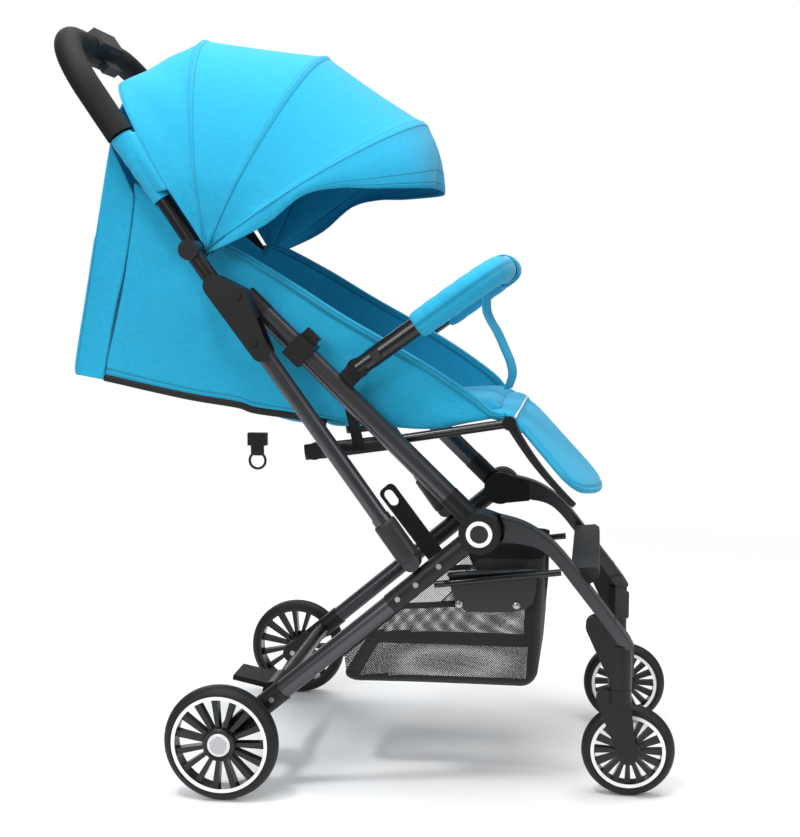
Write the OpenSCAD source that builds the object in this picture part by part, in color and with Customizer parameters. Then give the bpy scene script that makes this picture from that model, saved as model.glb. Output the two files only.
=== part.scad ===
// Folding travel stroller. Millimetres, +Z up, +X forwards, +Y to the child's left.
// The left side is drawn once and mirrored. Side-view points are [x, z] pairs measured
// from the ground under the rear axle, and the whole model is then centred on its length.

/* [Wheels] */
// Diameter of a rear wheel
rear_wheel_d = 150; // [110:1:185]
// Width of a rear tyre
rear_tyre_w = 30; // [20:1:34]
// Diameter of a front wheel
front_wheel_d = 120; // [95:1:130]
// Width of a front tyre
front_tyre_w = 26; // [18:1:30]
// Spokes in a rear wheel
rear_spokes = 15; // [8:1:20]
// Spokes in a front wheel
front_spokes = 16; // [8:1:20]
// Diameter of the wheel axles
axle_d = 8; // [6:1:10]

/* [Overall] */
// Distance between the rear and front axles
wheelbase = 517; // [450:1:600]
// Distance between the middles of the two rear wheels
rear_track = 484; // [470:1:560]
// Height of the main hub above the ground
hub_z = 349; // [330:1:380]

/* [Frame tubes] */
// Diameter of the rear leg tubes
leg_d = 25; // [20:1:25]
// Diameter of the long side tubes
side_d = 27; // [22:1:27]
// Diameter of the rear struts
strut_d = 22; // [18:1:22]
// Diameter of the handle tube
handle_d = 21; // [16:1:21]
// Diameter of the foam grip
grip_d = 36; // [28:1:40]
// Length of the side tubes between their two pivots
side_len = 425; // [400:1:440]
// Diameter of the main hubs
hub_d = 52; // [46:1:56]
// Diameter of the bumper bar
bar_d = 25; // [20:1:28]

/* [Handle] */
// Length of the handle from its fold hub to the crossbar
handle_len = 340; // [300:1:400]
// Bend radius of the handle corners
handle_bend = 92; // [60:1:110]

/* [Soft parts] */
// Radius of the canopy about its pivot
canopy_r = 284; // [260:1:300]
// Half of the seat's width between its side walls
seat_half = 152; // [130:1:154]
// Half of the basket's width
basket_half = 120; // [100:1:122]

/* [Hidden] */
$fn = 48;

// Side layers, as distances from the middle plane
gap = 0.6;                        // running gap between parts on different bodies
inner_y = 179;                    // side tubes and front legs
inner_half = side_d / 2 + 0.5;    // half the inner layer's thickness
outer_y = inner_y + inner_half + gap + 13.5;  // rear legs and struts
hub_face_y = outer_y + 16;        // outer face of the main hub
wheel_y = rear_track / 2;

// Side-view points
rear_axle = [0, rear_wheel_d / 2];
hub = [wheelbase - 189, hub_z];
side_dir = 135.9;                 // side tube, from the hub upwards
leg_dir = atan2(rear_axle.y - hub.y, rear_axle.x - hub.x);
leg_len = norm(rear_axle - hub);
function polar(p, a, r) = p + r * [cos(a), sin(a)];
function ang(p, q) = atan2(q.y - p.y, q.x - p.x);
top_pivot = polar(hub, side_dir, side_len);
line_dir = -54.3;                 // the strut, bracket and upper tube share this line
strut_foot = polar(polar(hub, leg_dir, 92), leg_dir - 90, 25);
strut_len = 340;
strut_top = polar(strut_foot, line_dir + 180, strut_len);
fold_hub = polar(strut_foot, line_dir + 180, strut_len + 144);
handle_dir = 124.2;
canopy_pivot = fold_hub + [14, 2];

// Casters
caster_x = wheelbase - 12;
front_axle = [wheelbase, front_wheel_d / 2];
fork_y = inner_y;
front_wheel_y = fork_y - 8 - gap - front_tyre_w / 2 - 2;
housing_z = [front_wheel_d + 28, front_wheel_d + 84];
elbow = [caster_x + 10, housing_z[1] - 4];

// Overall length, for centring the model
rearmost = polar(fold_hub, handle_dir, handle_len).x - grip_d / 2;
x_mid = (rearmost + wheelbase + front_wheel_d / 2) / 2;

black = "#1b1c1e";
gunmetal = "#55565a";
blue = "#38b4dc";
white = "#f2f2f2";

module place() translate([-x_mid, 0, 0]) children();
module left() place() children();
module right() place() mirror([0, 1, 0]) children();
module both() { left() children(); right() children(); }

// A round bar between two side-view points, in the layer at y
module bar(p, q, y, d)
  translate([p.x, y, p.y]) rotate([0, 90 - ang(p, q), 0]) cylinder(d = d, h = norm(q - p));
// A side-view outline given a thickness from y0 to y1
module plate(y0, y1) translate([0, y1, 0]) rotate([90, 0, 0]) linear_extrude(y1 - y0) children();
// A disc or pin across the layers
module disc(p, y0, y1, d) translate([p.x, y0, p.y]) rotate([-90, 0, 0]) cylinder(d = d, h = y1 - y0);
// Turns a part drawn along +X to a side-view direction
module aim(p, a) translate([p.x, 0, p.y]) rotate([0, -a, 0]) children();
// An outline of points measured from the main hub
module side_points(p) polygon([for (q = p) hub + q]);
module link2d(p, q, d) hull() { translate(p) circle(d = d); translate(q) circle(d = d); }

// Wheels, drawn about Z with the outer face up
module tyre(d, w) rotate_extrude() difference() {
  intersection() {
    translate([d / 2 - w * 0.46, 0]) scale([0.92, 1]) circle(d = w);
    translate([d / 2 - w / 2, -w / 2 + 1]) square([w, w - 2]);
  }
  translate([0, -w]) square([d / 2 - 11, 2 * w]);
}
module rim(d, w, n, bore) {
  r_out = d / 2 - 11.2;
  difference() {
    union() {
      difference() {
        translate([0, 0, -w / 2 + 3]) cylinder(r = r_out, h = w - 6);
        translate([0, 0, -w / 2]) cylinder(r = r_out - 5, h = w);
      }
      translate([0, 0, -w / 2 + 1]) cylinder(r = 16, h = w - 2);
      for (i = [0:n - 1]) rotate(i * 360 / n) translate([0, 0, -3])
        linear_extrude(w / 2 - 2) polygon([[12, -2.2], [r_out - 3, -4.2], [r_out - 3, 4.2], [12, 2.2]]);
    }
    translate([0, 0, -w]) cylinder(d = bore, h = 2 * w);
  }
}
module ring(d, w) rotate_extrude() translate([d / 2 - 16.5, w / 2 - 3 + 0.05]) square([4.4, 1.6]);
module on_axle(p, y) translate([p.x, y, p.y]) rotate([-90, 0, 0]) children();
axle_hole = axle_d + 0.1;
module rear_tyre() color(black) on_axle(rear_axle, wheel_y) tyre(rear_wheel_d, rear_tyre_w);
module rear_rim() color(black) on_axle(rear_axle, wheel_y)
  rim(rear_wheel_d, rear_tyre_w, rear_spokes, axle_hole);
module rear_ring() color(white) on_axle(rear_axle, wheel_y) ring(rear_wheel_d, rear_tyre_w);
module front_tyre() color(black) on_axle(front_axle, front_wheel_y) tyre(front_wheel_d, front_tyre_w);
module front_rim() color(black) on_axle(front_axle, front_wheel_y)
  rim(front_wheel_d, front_tyre_w, front_spokes, axle_hole);
module front_rings() color(white) on_axle(front_axle, front_wheel_y) {
  ring(front_wheel_d, front_tyre_w);
  mirror([0, 0, 1]) ring(front_wheel_d, front_tyre_w);
}

// Rear frame
sleeve_start = hub_d / 2 + 2;
sleeve_end = 148;
carrier_start = leg_len - 96;
module rear_leg() color(gunmetal)
  bar(polar(hub, leg_dir, sleeve_end), polar(hub, leg_dir, carrier_start), outer_y, leg_d);
module rear_sleeve() color(black) difference() {
  bar(polar(hub, leg_dir, sleeve_start - 2), polar(hub, leg_dir, sleeve_end), outer_y, leg_d + 2);
  disc(hub, 0, 400, hub_d);
}
module rear_hub() color(black) difference() {
  disc(hub, inner_y + inner_half + gap, hub_face_y, hub_d);
  disc(hub, hub_face_y - 2, hub_face_y + 1, 33);
}
module hub_ring() color(white) difference() {
  disc(hub, hub_face_y - 2, hub_face_y + 0.6, 33);
  disc(hub, hub_face_y - 3, hub_face_y + 2, 23);
}
module hub_cap() color("#3a3b3e") disc(hub, hub_face_y - 2, hub_face_y + 0.2, 23);
cross = polar(hub, leg_dir, leg_len - 62);
cross_d = 20;
module rear_cross_tube() color(black) translate([cross.x, -outer_y + leg_d / 2 + 1, cross.y])
  rotate([-90, 0, 0]) cylinder(d = cross_d, h = 2 * outer_y - leg_d - 2);
carrier_y = min(outer_y, wheel_y - rear_tyre_w / 2 - leg_d / 2 - 3);
module axle_carrier() color(black) difference() {
  union() {
    bar(polar(hub, leg_dir, carrier_start), polar(hub, leg_dir, leg_len - 26), outer_y, leg_d + 3);
    disc(rear_axle, outer_y - 13, wheel_y - rear_tyre_w / 2 - gap, 30);
    plate(outer_y - 13, outer_y + 9) link2d(polar(hub, leg_dir, leg_len - 34), rear_axle, 26);
  }
  disc(rear_axle, outer_y - 14, wheel_y, axle_d);
}
module rear_axle_pin() color("silver") {
  disc(rear_axle, outer_y - 13, wheel_y + rear_tyre_w / 2 - 0.8, axle_d);
  disc(rear_axle, wheel_y + rear_tyre_w / 2 - 0.8, wheel_y + rear_tyre_w / 2 + 1.6, 22);
}
module rear_leg_rivet() color("silver") for (s = [66, 104, sleeve_end - 14, carrier_start + 16])
  disc(polar(hub, leg_dir, s), outer_y + leg_d / 2 - 0.4, outer_y + leg_d / 2 + 2.6, 7);

// Basket, its side flaps and the rods that carry it
basket_x = [hub.x - 188, hub.x + 67];
basket_z = hub.y - 227;
basket_len = basket_x[1] - basket_x[0];
module basket_outline(t) translate([basket_x[0] + t, basket_z + t])
  offset(r = 18 - t) offset(delta = -18 + t)
    polygon([[0, 0], [basket_len - 2 * t, 6], [basket_len - 2 * t + 12, 150], [-6, 150], [-10, 40]]);
module basket() color(black) difference() {
  plate(-basket_half, basket_half) basket_outline(0);
  plate(-basket_half + 3, basket_half - 3) basket_outline(3);
  translate([basket_x[0] - 100, -200, basket_z + 118]) cube([basket_len + 200, 400, 100]);
}
rod = [hub + [-66, -85], hub + [100, -64]];
rod_y = basket_half + 12;
module basket_rod() color(black) bar(rod[0], rod[1], rod_y, 9);
module basket_flap() color("#26272a") plate(rod_y - 9, rod_y - 5)
  side_points([[-40, -113], [-30, -123], [52, -119], [64, -109], [68, -63], [-46, -77]]);

// Brake pedal on the rear cross tube
module brake_pedal() color(black) {
  translate([cross.x, -150, cross.y]) rotate([-90, 0, 0]) difference() {
    cylinder(d = cross_d + 10, h = 60);
    translate([0, 0, -1]) cylinder(d = cross_d + 0.1, h = 62);
  }
  pedal_pad();
}
module pedal_pad() translate([cross.x, 0, cross.y]) rotate([0, 12, 0])
  difference() {
    translate([-58, -148, 3]) cube([52, 56, 7]);
    translate([0, -160, 0]) rotate([-90, 0, 0]) cylinder(d = cross_d + 4, h = 80);
  }

// Front frame
// A smooth curve through side-view points, and an outline of a given half thickness along it
function spline(p, i, t) = let(a = p[max(i - 1, 0)], b = p[i], c = p[i + 1], d = p[min(i + 2, len(p) - 1)])
  (2 * b + (c - a) * t + (2 * a - 5 * b + 4 * c - d) * t * t
    + (3 * b - a - 3 * c + d) * t * t * t) / 2;
function curve(p, n) =
  concat([for (i = [0:len(p) - 2], k = [0:n - 1]) spline(p, i, k / n)], [p[len(p) - 1]]);
function flat(q) = [q.x, q.y];
function unit(v) = v / norm(v);
function along(c, i) = unit(flat(c[min(i + 1, len(c) - 1)]) - flat(c[max(i - 1, 0)]));
function side_of(c, i, s) = flat(c[i]) + s * c[i].z * [-along(c, i).y, along(c, i).x];
function outline(c) = concat([for (i = [0:len(c) - 1]) side_of(c, i, 1)],
  [for (i = [len(c) - 1:-1:0]) side_of(c, i, -1)]);
// Middle line of the front leg with its half thickness
front_leg_line = curve([
  [hub.x + 18, hub.y + 2, 17], [hub.x + 48, hub.y - 3, 14], [hub.x + 76, hub.y - 14, 9.5],
  [hub.x + 98, hub.y - 33, 8], [hub.x + 130, hub.y - 73, 8],
  [elbow.x - 12, elbow.y + 18, 8], [elbow.x, elbow.y, 8]], 5);
module front_leg_side() polygon(outline(front_leg_line));
module front_leg() color(gunmetal) {
  difference() {
    union() {
      plate(inner_y - 11, inner_y + 11) front_leg_side();
      plate(inner_y - 12.5, inner_y + 12.5) offset(delta = -2.5) front_leg_side();
    }
    disc(hub, 0, 400, hub_d + 8);
  }
  plate(inner_y - 19, inner_y - 15.5) offset(r = 4) offset(delta = -4) polygon([[caster_x - 2, elbow.y + 8],
    [caster_x + 18, elbow.y - 4], [caster_x + 18, housing_z[0] + 8], [caster_x - 2, housing_z[0] + 8]]);
  plate(inner_y - 16, inner_y - 10) intersection() {
    front_leg_side();
    translate([caster_x, elbow.y + 6]) circle(r = 14);
  }
}
module front_hub() color(black) {
  disc(hub, inner_y - inner_half, inner_y - gap / 2, hub_d - 4);
  difference() {
    plate(inner_y - inner_half, inner_y - gap / 2)
      side_points([[10, 22], [44, 10], [44, -18], [10, -22]]);
    disc(hub, 0, 400, hub_d - 5);
    plate(inner_y - 12.6, inner_y + 12.6) front_leg_side();
  }
}
// Footrest: a flat ribbed tread between the front legs with a curved front lip
tread = [[113, -53], [143, -50], [149, -54], [150, -60], [145, -68], [138, -72], [113, -65]];
module footrest() color("#2a2b2e") {
  plate(-inner_y + 24, inner_y - 24) difference() {
    side_points(tread);
    side_points([[110, -57], [142, -54], [145, -60], [137, -67], [110, -70]]);
  }
  for (m = [0, 1]) mirror([0, m, 0]) plate(inner_y - 24.5, inner_y - 20) side_points(tread);
  for (m = [0, 1]) mirror([0, m, 0]) disc(hub + [122, -60], inner_y - 21, inner_y - 12.5, 13);
}
module caster_housing() color(black) difference() {
  union() {
    translate([caster_x, inner_y, housing_z[0]]) cylinder(d = 30, h = housing_z[1] - housing_z[0]);
    plate(inner_y - 9, inner_y + 12) hull() {
      translate([caster_x - 31, housing_z[1] + 24]) circle(d = 26);
      translate([caster_x - 14, housing_z[1] + 27]) circle(d = 20);
      translate([caster_x - 10, housing_z[0] + 20]) circle(d = 14);
    }
  }
  translate([caster_x, inner_y, housing_z[0] - 1]) cylinder(d = 12.1, h = 40);
  plate(inner_y - 24, inner_y + 14) offset(delta = 0.1) front_leg_side();
  plate(inner_y - 19.2, inner_y - 15.4) translate([caster_x - 6, housing_z[0]]) square([40, 80]);
}
module caster_fork() color(black) {
  translate([caster_x, inner_y, housing_z[0] - 16]) cylinder(d = 12, h = 50);
  translate([caster_x, inner_y, housing_z[0] - 18]) cylinder(d = 30, h = 18 - gap);
  plate(fork_y - 8, fork_y + 8) hull() {
    translate([caster_x - 18, housing_z[0] - 14]) circle(d = 24);
    translate([caster_x + 3, housing_z[0] - 12]) circle(d = 20);
    translate(front_axle) circle(d = 22);
  }
  disc(front_axle, front_wheel_y - front_tyre_w / 2 + 1, fork_y - 7, axle_d);
  disc(front_axle, front_wheel_y - front_tyre_w / 2 - 1.5, front_wheel_y - front_tyre_w / 2 + 0.9, 14);
}

// Side frame with the seat
module side_tube() color(gunmetal)
  bar(polar(hub, side_dir, hub_d / 2 + 22), polar(top_pivot, side_dir, -14), inner_y, side_d);
module side_hub() color(black) {
  disc(hub, inner_y + gap / 2, inner_y + inner_half, hub_d - 2);
  difference() {
    bar(polar(hub, side_dir, 20), polar(hub, side_dir, hub_d / 2 + 34), inner_y, side_d + 1);
    disc(hub, 0, inner_y + gap / 2, hub_d + 2);
    disc(hub, 0, 400, hub_d - 2);
    bar(polar(hub, side_dir, hub_d / 2 + 22), top_pivot, inner_y, side_d);
  }
  difference() {
    bar(polar(top_pivot, side_dir, -34), top_pivot, inner_y, side_d + 1);
    bar(polar(hub, side_dir, 40), polar(top_pivot, side_dir, -14), inner_y, side_d);
    disc(top_pivot, 0, 400, 8);
  }
  disc(top_pivot, inner_y - side_d / 2, outer_y + 17, 8);
}
rail = [hub + [-228, 91], hub + [33, 133]];
rail_y = seat_half + 4;
module seat_rail() color(black) {
  bar(rail[0], rail[1], rail_y, 12);
  disc(rail[1], rail_y - 7, rail_y + 7, 18);
  disc(rail[0] + [8, 2], rail_y - 8, rail_y + 8, 22);
  plate(rail_y + 4, rail_y + 8) link2d(polar(hub, side_dir, 246), rail[0] + [66, 12], 14);
}
bar_dir = 35.6;
bar_pivot = polar(polar(hub, side_dir, 256), side_dir - 90, 35);
lug_w = 8;
lug_d = bar_d - 1;
module bar_lug() color(black) difference() {
  plate(inner_y - lug_w / 2, inner_y + lug_w / 2)
    link2d(bar_pivot, polar(bar_pivot, side_dir + 90, 24), lug_d);
  bar(hub, top_pivot, inner_y, side_d - 1);
}
clip = polar(hub, side_dir, side_len - 100);
module accessory_clip() color(black) aim(clip, side_dir) {
  difference() {
    translate([-14, inner_y - 17, -17]) cube([28, 34, 34]);
    translate([-20, inner_y, 0]) rotate([0, 90, 0]) cylinder(d = side_d, h = 60);
  }
  translate([-9, inner_y - 6, -28]) cube([22, 12, 12]);
}
seat_rear = rail[0] + [8, 34];
seat_front = rail[1] + [-6, 12];
module seat_base() color(blue) plate(-seat_half + 12, seat_half - 12)
  polygon([seat_rear, seat_front, seat_front + [4, 18], seat_rear + [0, 22]]);
module seat_wall() color(blue) plate(seat_half - 9, seat_half - 3)
  side_points([[-507, 190], [-490, 271], [-475, 326], [-463, 386], [-446, 431], [-378, 360],
    [-326, 357], [-206, 290], [-52, 190], [18, 150], [22, 143], [-218, 123], [-300, 148]]);
calf_dir = -50;
module calf_rest() color(blue) aim(rail[1] + [11, 5], calf_dir) linear_extrude(18) intersection() {
  translate([4, -seat_half + 8]) square([152, 2 * seat_half - 16]);
  translate([-146, 0]) circle(r = 302);
}
recline_dir = 165;
module backrest() color(blue) aim(seat_rear + [-4, 3], recline_dir)
  translate([4, -seat_half + 14, -14]) cube([276, 2 * seat_half - 28, 22]);
module back_curtain() color(blue) plate(-seat_half - 6, seat_half + 6)
  polygon([for (q = [[-175, -146], [-170, -164], [-158, -164], [-163, -146], [-109, 132], [-117, 138]])
    fold_hub + q]);

// Struts, brackets and upper tubes
module strut() {
  color(gunmetal) bar(polar(strut_foot, line_dir + 180, 66), strut_top, outer_y, strut_d);
  color(black) difference() {
    union() {
      bar(polar(strut_foot, line_dir + 180, 8), polar(strut_foot, line_dir + 180, 70), outer_y, strut_d + 3);
      disc(strut_foot, outer_y - 12, outer_y + 12, 23);
    }
    bar(polar(strut_foot, line_dir + 180, 66), strut_top, outer_y, strut_d);
  }
}
slot_top = 24;  // how far the slot for the strut reaches above the strut's end
module bracket() color(black) {
  difference() {
    plate(inner_y + inner_half + gap, outer_y + 14.5) hull() {
      translate(polar(strut_top, line_dir + 180, -14)) circle(d = 24);
      translate(polar(strut_top, line_dir + 180, 88)) circle(d = 28);
      translate(top_pivot) circle(d = 22);
    }
    plate(outer_y - strut_d / 2 - 1.2, outer_y + strut_d / 2 + 1.2)
      polygon([for (q = [[-40, 20], [slot_top, 20], [slot_top, -30], [-60, -60], [-60, 40]])
        polar(polar(strut_top, line_dir + 180, q.x), line_dir - 90, q.y)]);
    disc(top_pivot, 0, 400, 8.1);
    bar(polar(strut_top, line_dir + 180, 60), fold_hub, outer_y, handle_d);
  }
  disc(strut_top, outer_y + 14.5, outer_y + 16.5, 9);
}
module upper_tube() color(black) {
  bar(polar(strut_top, line_dir + 180, 60), polar(fold_hub, line_dir, 8), outer_y, handle_d);
  disc(fold_hub, inner_y + 10, outer_y + 13, 26);
}

// Handle
module handle_u(s0, d) aim(fold_hub, handle_dir) u_bar(s0, handle_len, handle_bend, inner_y - 3, d);
grip_start = 178;
module handle_tube() place() color(black) {
  handle_u(8, handle_d);
  for (m = [0, 1]) mirror([0, m, 0]) disc(fold_hub, inner_y - 13, inner_y + 10 - gap, 26);
}
module handle_grip() place() color(black) difference() {
  handle_u(grip_start, grip_d);
  handle_u(grip_start - 2, handle_d);
}
module handle_box() place() color("#2c2d30") difference() {
  aim(fold_hub, handle_dir) translate([handle_len - 12, -42, -24]) cube([26, 84, 44]);
  handle_u(grip_start - 2, grip_d);
}
module handle_trigger() place() color("#3a3b3e") aim(fold_hub, handle_dir)
  translate([handle_len - 38, -26, -8]) cube([12, 52, 14]);

// Canopy, in three spans about its pivot
canopy_half = 197;
// Cross-section of a canopy span: r is its height over the pivot, c its corner radius
module canopy_skin(r, c, w) hull() {
  translate([0, -canopy_half + w]) square([r - c, 2 * (canopy_half - w)]);
  for (m = [0, 1]) mirror([0, m]) translate([r - c - 10, canopy_half - c]) circle(r = c - w);
  translate([r - 30, -40]) square([30 - w, 80]);
}
module canopy_profile(r, c) difference() {
  intersection() {
    canopy_skin(r, c, 0);
    translate([27, -canopy_half]) square([r, 2 * canopy_half]);
  }
  canopy_skin(r, c, 4);
  translate([-1, -canopy_half + 4]) square([r - c, 2 * (canopy_half - 4)]);
}
module canopy_span(a0, a1, r, c) color(blue) translate([canopy_pivot.x, 0, canopy_pivot.y])
  rotate([90, 0, 0]) rotate([0, 0, a0]) rotate_extrude(angle = a1 - a0) canopy_profile(r, c);
module canopy_rear() place() canopy_span(98.4, 121.5, canopy_r - 10, 110);
module canopy_middle() place() canopy_span(60.4, 98, canopy_r, 150);
module canopy_front() place() difference() {
  canopy_span(15, 60, canopy_r + 16, 150);
  color(blue) plate(-canopy_half - 5, canopy_half + 5)
    polygon([for (q = [[26, 0], [74, 20], [134, 74], [400, 76], [400, -90]]) canopy_pivot + q]);
}

// Bumper bar
bar_len = 213;                    // from its pivots to the crossbar
bar_bend = 62;
cover_start = 92;                 // where the padded cover starts along the arms
button_s = 30;                    // middle of the release button along the arm
button_w = 12;
// A U-shaped bar drawn along +X, with its straight arms starting at s0
module u_bar(s0, len, bend, half, d) {
  for (m = [0, 1]) mirror([0, m, 0]) {
    translate([s0, half, 0]) rotate([0, 90, 0]) cylinder(d = d, h = len - bend - s0);
    translate([len - bend, half - bend, 0]) rotate_extrude(angle = 90) translate([bend, 0]) circle(d = d);
  }
  translate([len, bend - half, 0]) rotate([-90, 0, 0]) cylinder(d = d, h = 2 * (half - bend));
}
module bumper_bar() place() color(black) aim(bar_pivot, bar_dir) difference() {
  union() {
    u_bar(0, bar_len, bar_bend, inner_y, bar_d);
    for (m = [0, 1]) mirror([0, m, 0]) translate([0, inner_y - bar_d / 2 + 1, 0]) rotate([-90, 0, 0])
      cylinder(d = bar_d + 2, h = bar_d - 2);
  }
  for (m = [0, 1]) mirror([0, m, 0]) {
    translate([-lug_d, inner_y - lug_w / 2 - gap, -lug_d]) cube([lug_d + 19, lug_w + 2 * gap, 2 * lug_d]);
    translate([button_s - button_w / 2 - 0.4, inner_y + 6, -button_w / 2 - 0.4])
      cube([button_w + 0.8, bar_d, button_w + 0.8]);
  }
}
module bar_cover() place() color(blue) aim(bar_pivot, bar_dir) difference() {
  u_bar(cover_start, bar_len, bar_bend, inner_y, bar_d + 9);
  u_bar(cover_start - 2, bar_len, bar_bend, inner_y, bar_d);
}
module bar_button() color("#2c2d30") aim(bar_pivot, bar_dir)
  translate([button_s - button_w / 2, inner_y + 8.6, -button_w / 2])
    cube([button_w, bar_d / 2 - 7.1, button_w]);
// Crotch strap from the bar down to the seat, the folding pull loop and the recline strap
bar_end = polar(bar_pivot, bar_dir, bar_len);
strap_line = curve([for (q = [bar_end + [-20, -30], bar_end + [-24, -61], bar_end + [-16, -96],
  seat_front + [-13, 54], seat_front + [-9, 28]]) [q.x, q.y, 1.5]], 4);
module crotch_strap() place() color(blue) plate(-13, 13) polygon(outline(strap_line));
loop_y = 140;
module pull_loop() color(black) {
  plate(loop_y - 1.5, loop_y + 1.5) difference() {
    offset(r = 8) offset(delta = -8)
      side_points([[-140, 37], [-122, 53], [-46, -48], [-64, -62]]);
    link2d(hub + [-125, 35], hub + [-119, 27], 13);
  }
  disc(hub + [-58, -51], loop_y + 1.4, outer_y - leg_d / 2, 8);
}
buckle = seat_rear + [-97, -36];
module recline_strap() place() color(black) translate([buckle.x, -72, buckle.y]) {
  translate([-13, -6, 0]) cube([26, 12, 17]);
  translate([-9, -3, -14]) cube([18, 3, 15]);
  translate([0, -1.5, -21]) rotate([90, 0, 0]) rotate_extrude() translate([11, 0])
    circle(d = 3.5, $fn = 16);
}

both() rear_leg();  // rear_legs
both() rear_sleeve();  // rear_sleeves
left() rear_hub();  // rear_hub_left
right() rear_hub();  // rear_hub_right
both() hub_ring();  // hub_rings
both() hub_cap();  // hub_caps
place() rear_cross_tube();
left() axle_carrier();  // axle_carrier_left
right() axle_carrier();  // axle_carrier_right
both() rear_axle_pin();  // rear_axles
both() rear_leg_rivet();  // rear_leg_rivets
place() basket();
both() basket_flap();  // basket_flaps
both() basket_rod();  // basket_rods
place() brake_pedal();
left() rear_tyre();  // rear_tyre_left
left() rear_rim();  // rear_rim_left
left() rear_ring();  // rear_ring_left
right() rear_tyre();  // rear_tyre_right
right() rear_rim();  // rear_rim_right
right() rear_ring();  // rear_ring_right
both() front_leg();  // front_legs
both() front_hub();  // front_hubs
place() footrest();
both() caster_housing();  // caster_housings
left() caster_fork();  // caster_fork_left
right() caster_fork();  // caster_fork_right
left() front_tyre();  // front_tyre_left
left() front_rim();  // front_rim_left
left() front_rings();  // front_rings_left
right() front_tyre();  // front_tyre_right
right() front_rim();  // front_rim_right
right() front_rings();  // front_rings_right
both() side_tube();  // side_tubes
both() side_hub();  // side_hubs
both() seat_rail();  // seat_rails
both() bar_lug();  // bar_lugs
right() accessory_clip();
place() seat_base();
both() seat_wall();  // seat_walls
place() calf_rest();
place() backrest();
place() back_curtain();
both() strut();  // struts
both() bracket();  // brackets
both() upper_tube();  // upper_tubes
handle_tube();
handle_grip();
handle_box();
handle_trigger();
canopy_rear();
canopy_middle();
canopy_front();
bumper_bar();
bar_cover();
left() bar_button();  // bar_button_left
right() bar_button();  // bar_button_right
crotch_strap();
right() pull_loop();
recline_strap();
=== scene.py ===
import math

import bmesh
import bpy
from mathutils import Matrix, Vector


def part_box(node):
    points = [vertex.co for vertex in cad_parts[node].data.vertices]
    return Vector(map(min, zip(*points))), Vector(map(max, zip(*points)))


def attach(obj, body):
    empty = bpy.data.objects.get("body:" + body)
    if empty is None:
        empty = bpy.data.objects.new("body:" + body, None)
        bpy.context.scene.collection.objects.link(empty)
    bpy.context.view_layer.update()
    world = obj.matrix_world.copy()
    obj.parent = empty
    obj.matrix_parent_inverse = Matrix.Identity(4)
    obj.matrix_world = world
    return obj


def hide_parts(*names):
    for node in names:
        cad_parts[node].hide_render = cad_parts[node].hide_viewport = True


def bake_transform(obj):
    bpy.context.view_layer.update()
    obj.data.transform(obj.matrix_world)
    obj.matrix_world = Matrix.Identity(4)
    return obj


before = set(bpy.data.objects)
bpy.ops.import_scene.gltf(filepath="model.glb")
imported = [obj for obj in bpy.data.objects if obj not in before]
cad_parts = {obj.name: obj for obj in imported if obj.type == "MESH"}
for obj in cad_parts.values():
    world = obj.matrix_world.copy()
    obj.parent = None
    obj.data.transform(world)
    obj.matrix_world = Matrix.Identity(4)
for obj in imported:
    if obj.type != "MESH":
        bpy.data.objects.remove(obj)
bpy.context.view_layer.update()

# ---------------------------------------------------------------- camera
# It stands two metres from the right side at seat height, turned a little
# towards the back, and looks slightly down.
camera = bpy.data.objects.new("camera", bpy.data.cameras.new("camera"))
camera.data.lens = 62.37
camera.data.sensor_width = 36
camera.location = (0.3086, -2.002, 0.677)
camera.rotation_euler = (math.radians(84.15), 0, math.radians(7.79))
bpy.context.scene.collection.objects.link(camera)
bpy.context.scene.camera = camera
bpy.context.scene.view_settings.view_transform = "Standard"


# ---------------------------------------------------------------- floor and light
# A pale studio floor under large soft lights: one overhead, one on each side
# and a low one in front. The finishes of every piece are laid out with Wire.
class Wire:
    """A value, colour or vector in a finish. Maths on it adds the nodes that work it out."""

    def __init__(self, tree, socket=None):
        self.tree, self.socket = tree, socket

    def put(self, socket, value):
        if isinstance(value, Wire):
            self.tree.links.new(value.socket, socket)
        else:
            socket.default_value = value

    def node(self, kind, settings=None, out=0, **inputs):
        """Any node: its type, its settings, then the values or links of its sockets."""
        made = self.tree.nodes.new("ShaderNode" + kind)
        for name, value in (settings or {}).items():
            if name == "stops":
                ramp = made.color_ramp.elements
                while len(ramp) < len(value):
                    ramp.new(0.5)
                for stop, (place, colour) in zip(ramp, value):
                    stop.position, stop.color = place, colour
            else:
                setattr(made, name, value)
        for name, value in inputs.items():
            key = int(name[1:]) if name[0] == "_" else name.replace("_", " ")
            self.put(made.inputs[key], value)
        return Wire(self.tree, made.outputs[out])

    def maths(self, operation, *values):
        numbered = {f"_{i}": v for i, v in enumerate(values)}
        return self.node("Math", {"operation": operation}, **numbered)

    def __add__(self, other):
        return self.maths("ADD", self, other)

    def __sub__(self, other):
        return self.maths("SUBTRACT", self, other)

    def __rsub__(self, other):
        return self.maths("SUBTRACT", other, self)

    def __mul__(self, other):
        return self.maths("MULTIPLY", self, other)

    def __gt__(self, other):
        return self.maths("GREATER_THAN", self, other)

    def __lt__(self, other):
        return self.maths("LESS_THAN", self, other)

    __radd__, __rmul__ = __add__, __mul__

    def sine(self):
        return self.maths("SINE", self)

    def held(self):
        """The value kept from 0 to 1."""
        return self.node("Clamp", Value=self)

    def between(self, low, high):
        """A colour, low where the value is 0 and high where it is 1."""
        return self.node("Mix", {"data_type": "RGBA"}, out=2, _0=self.held(), _6=low, _7=high)


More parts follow.
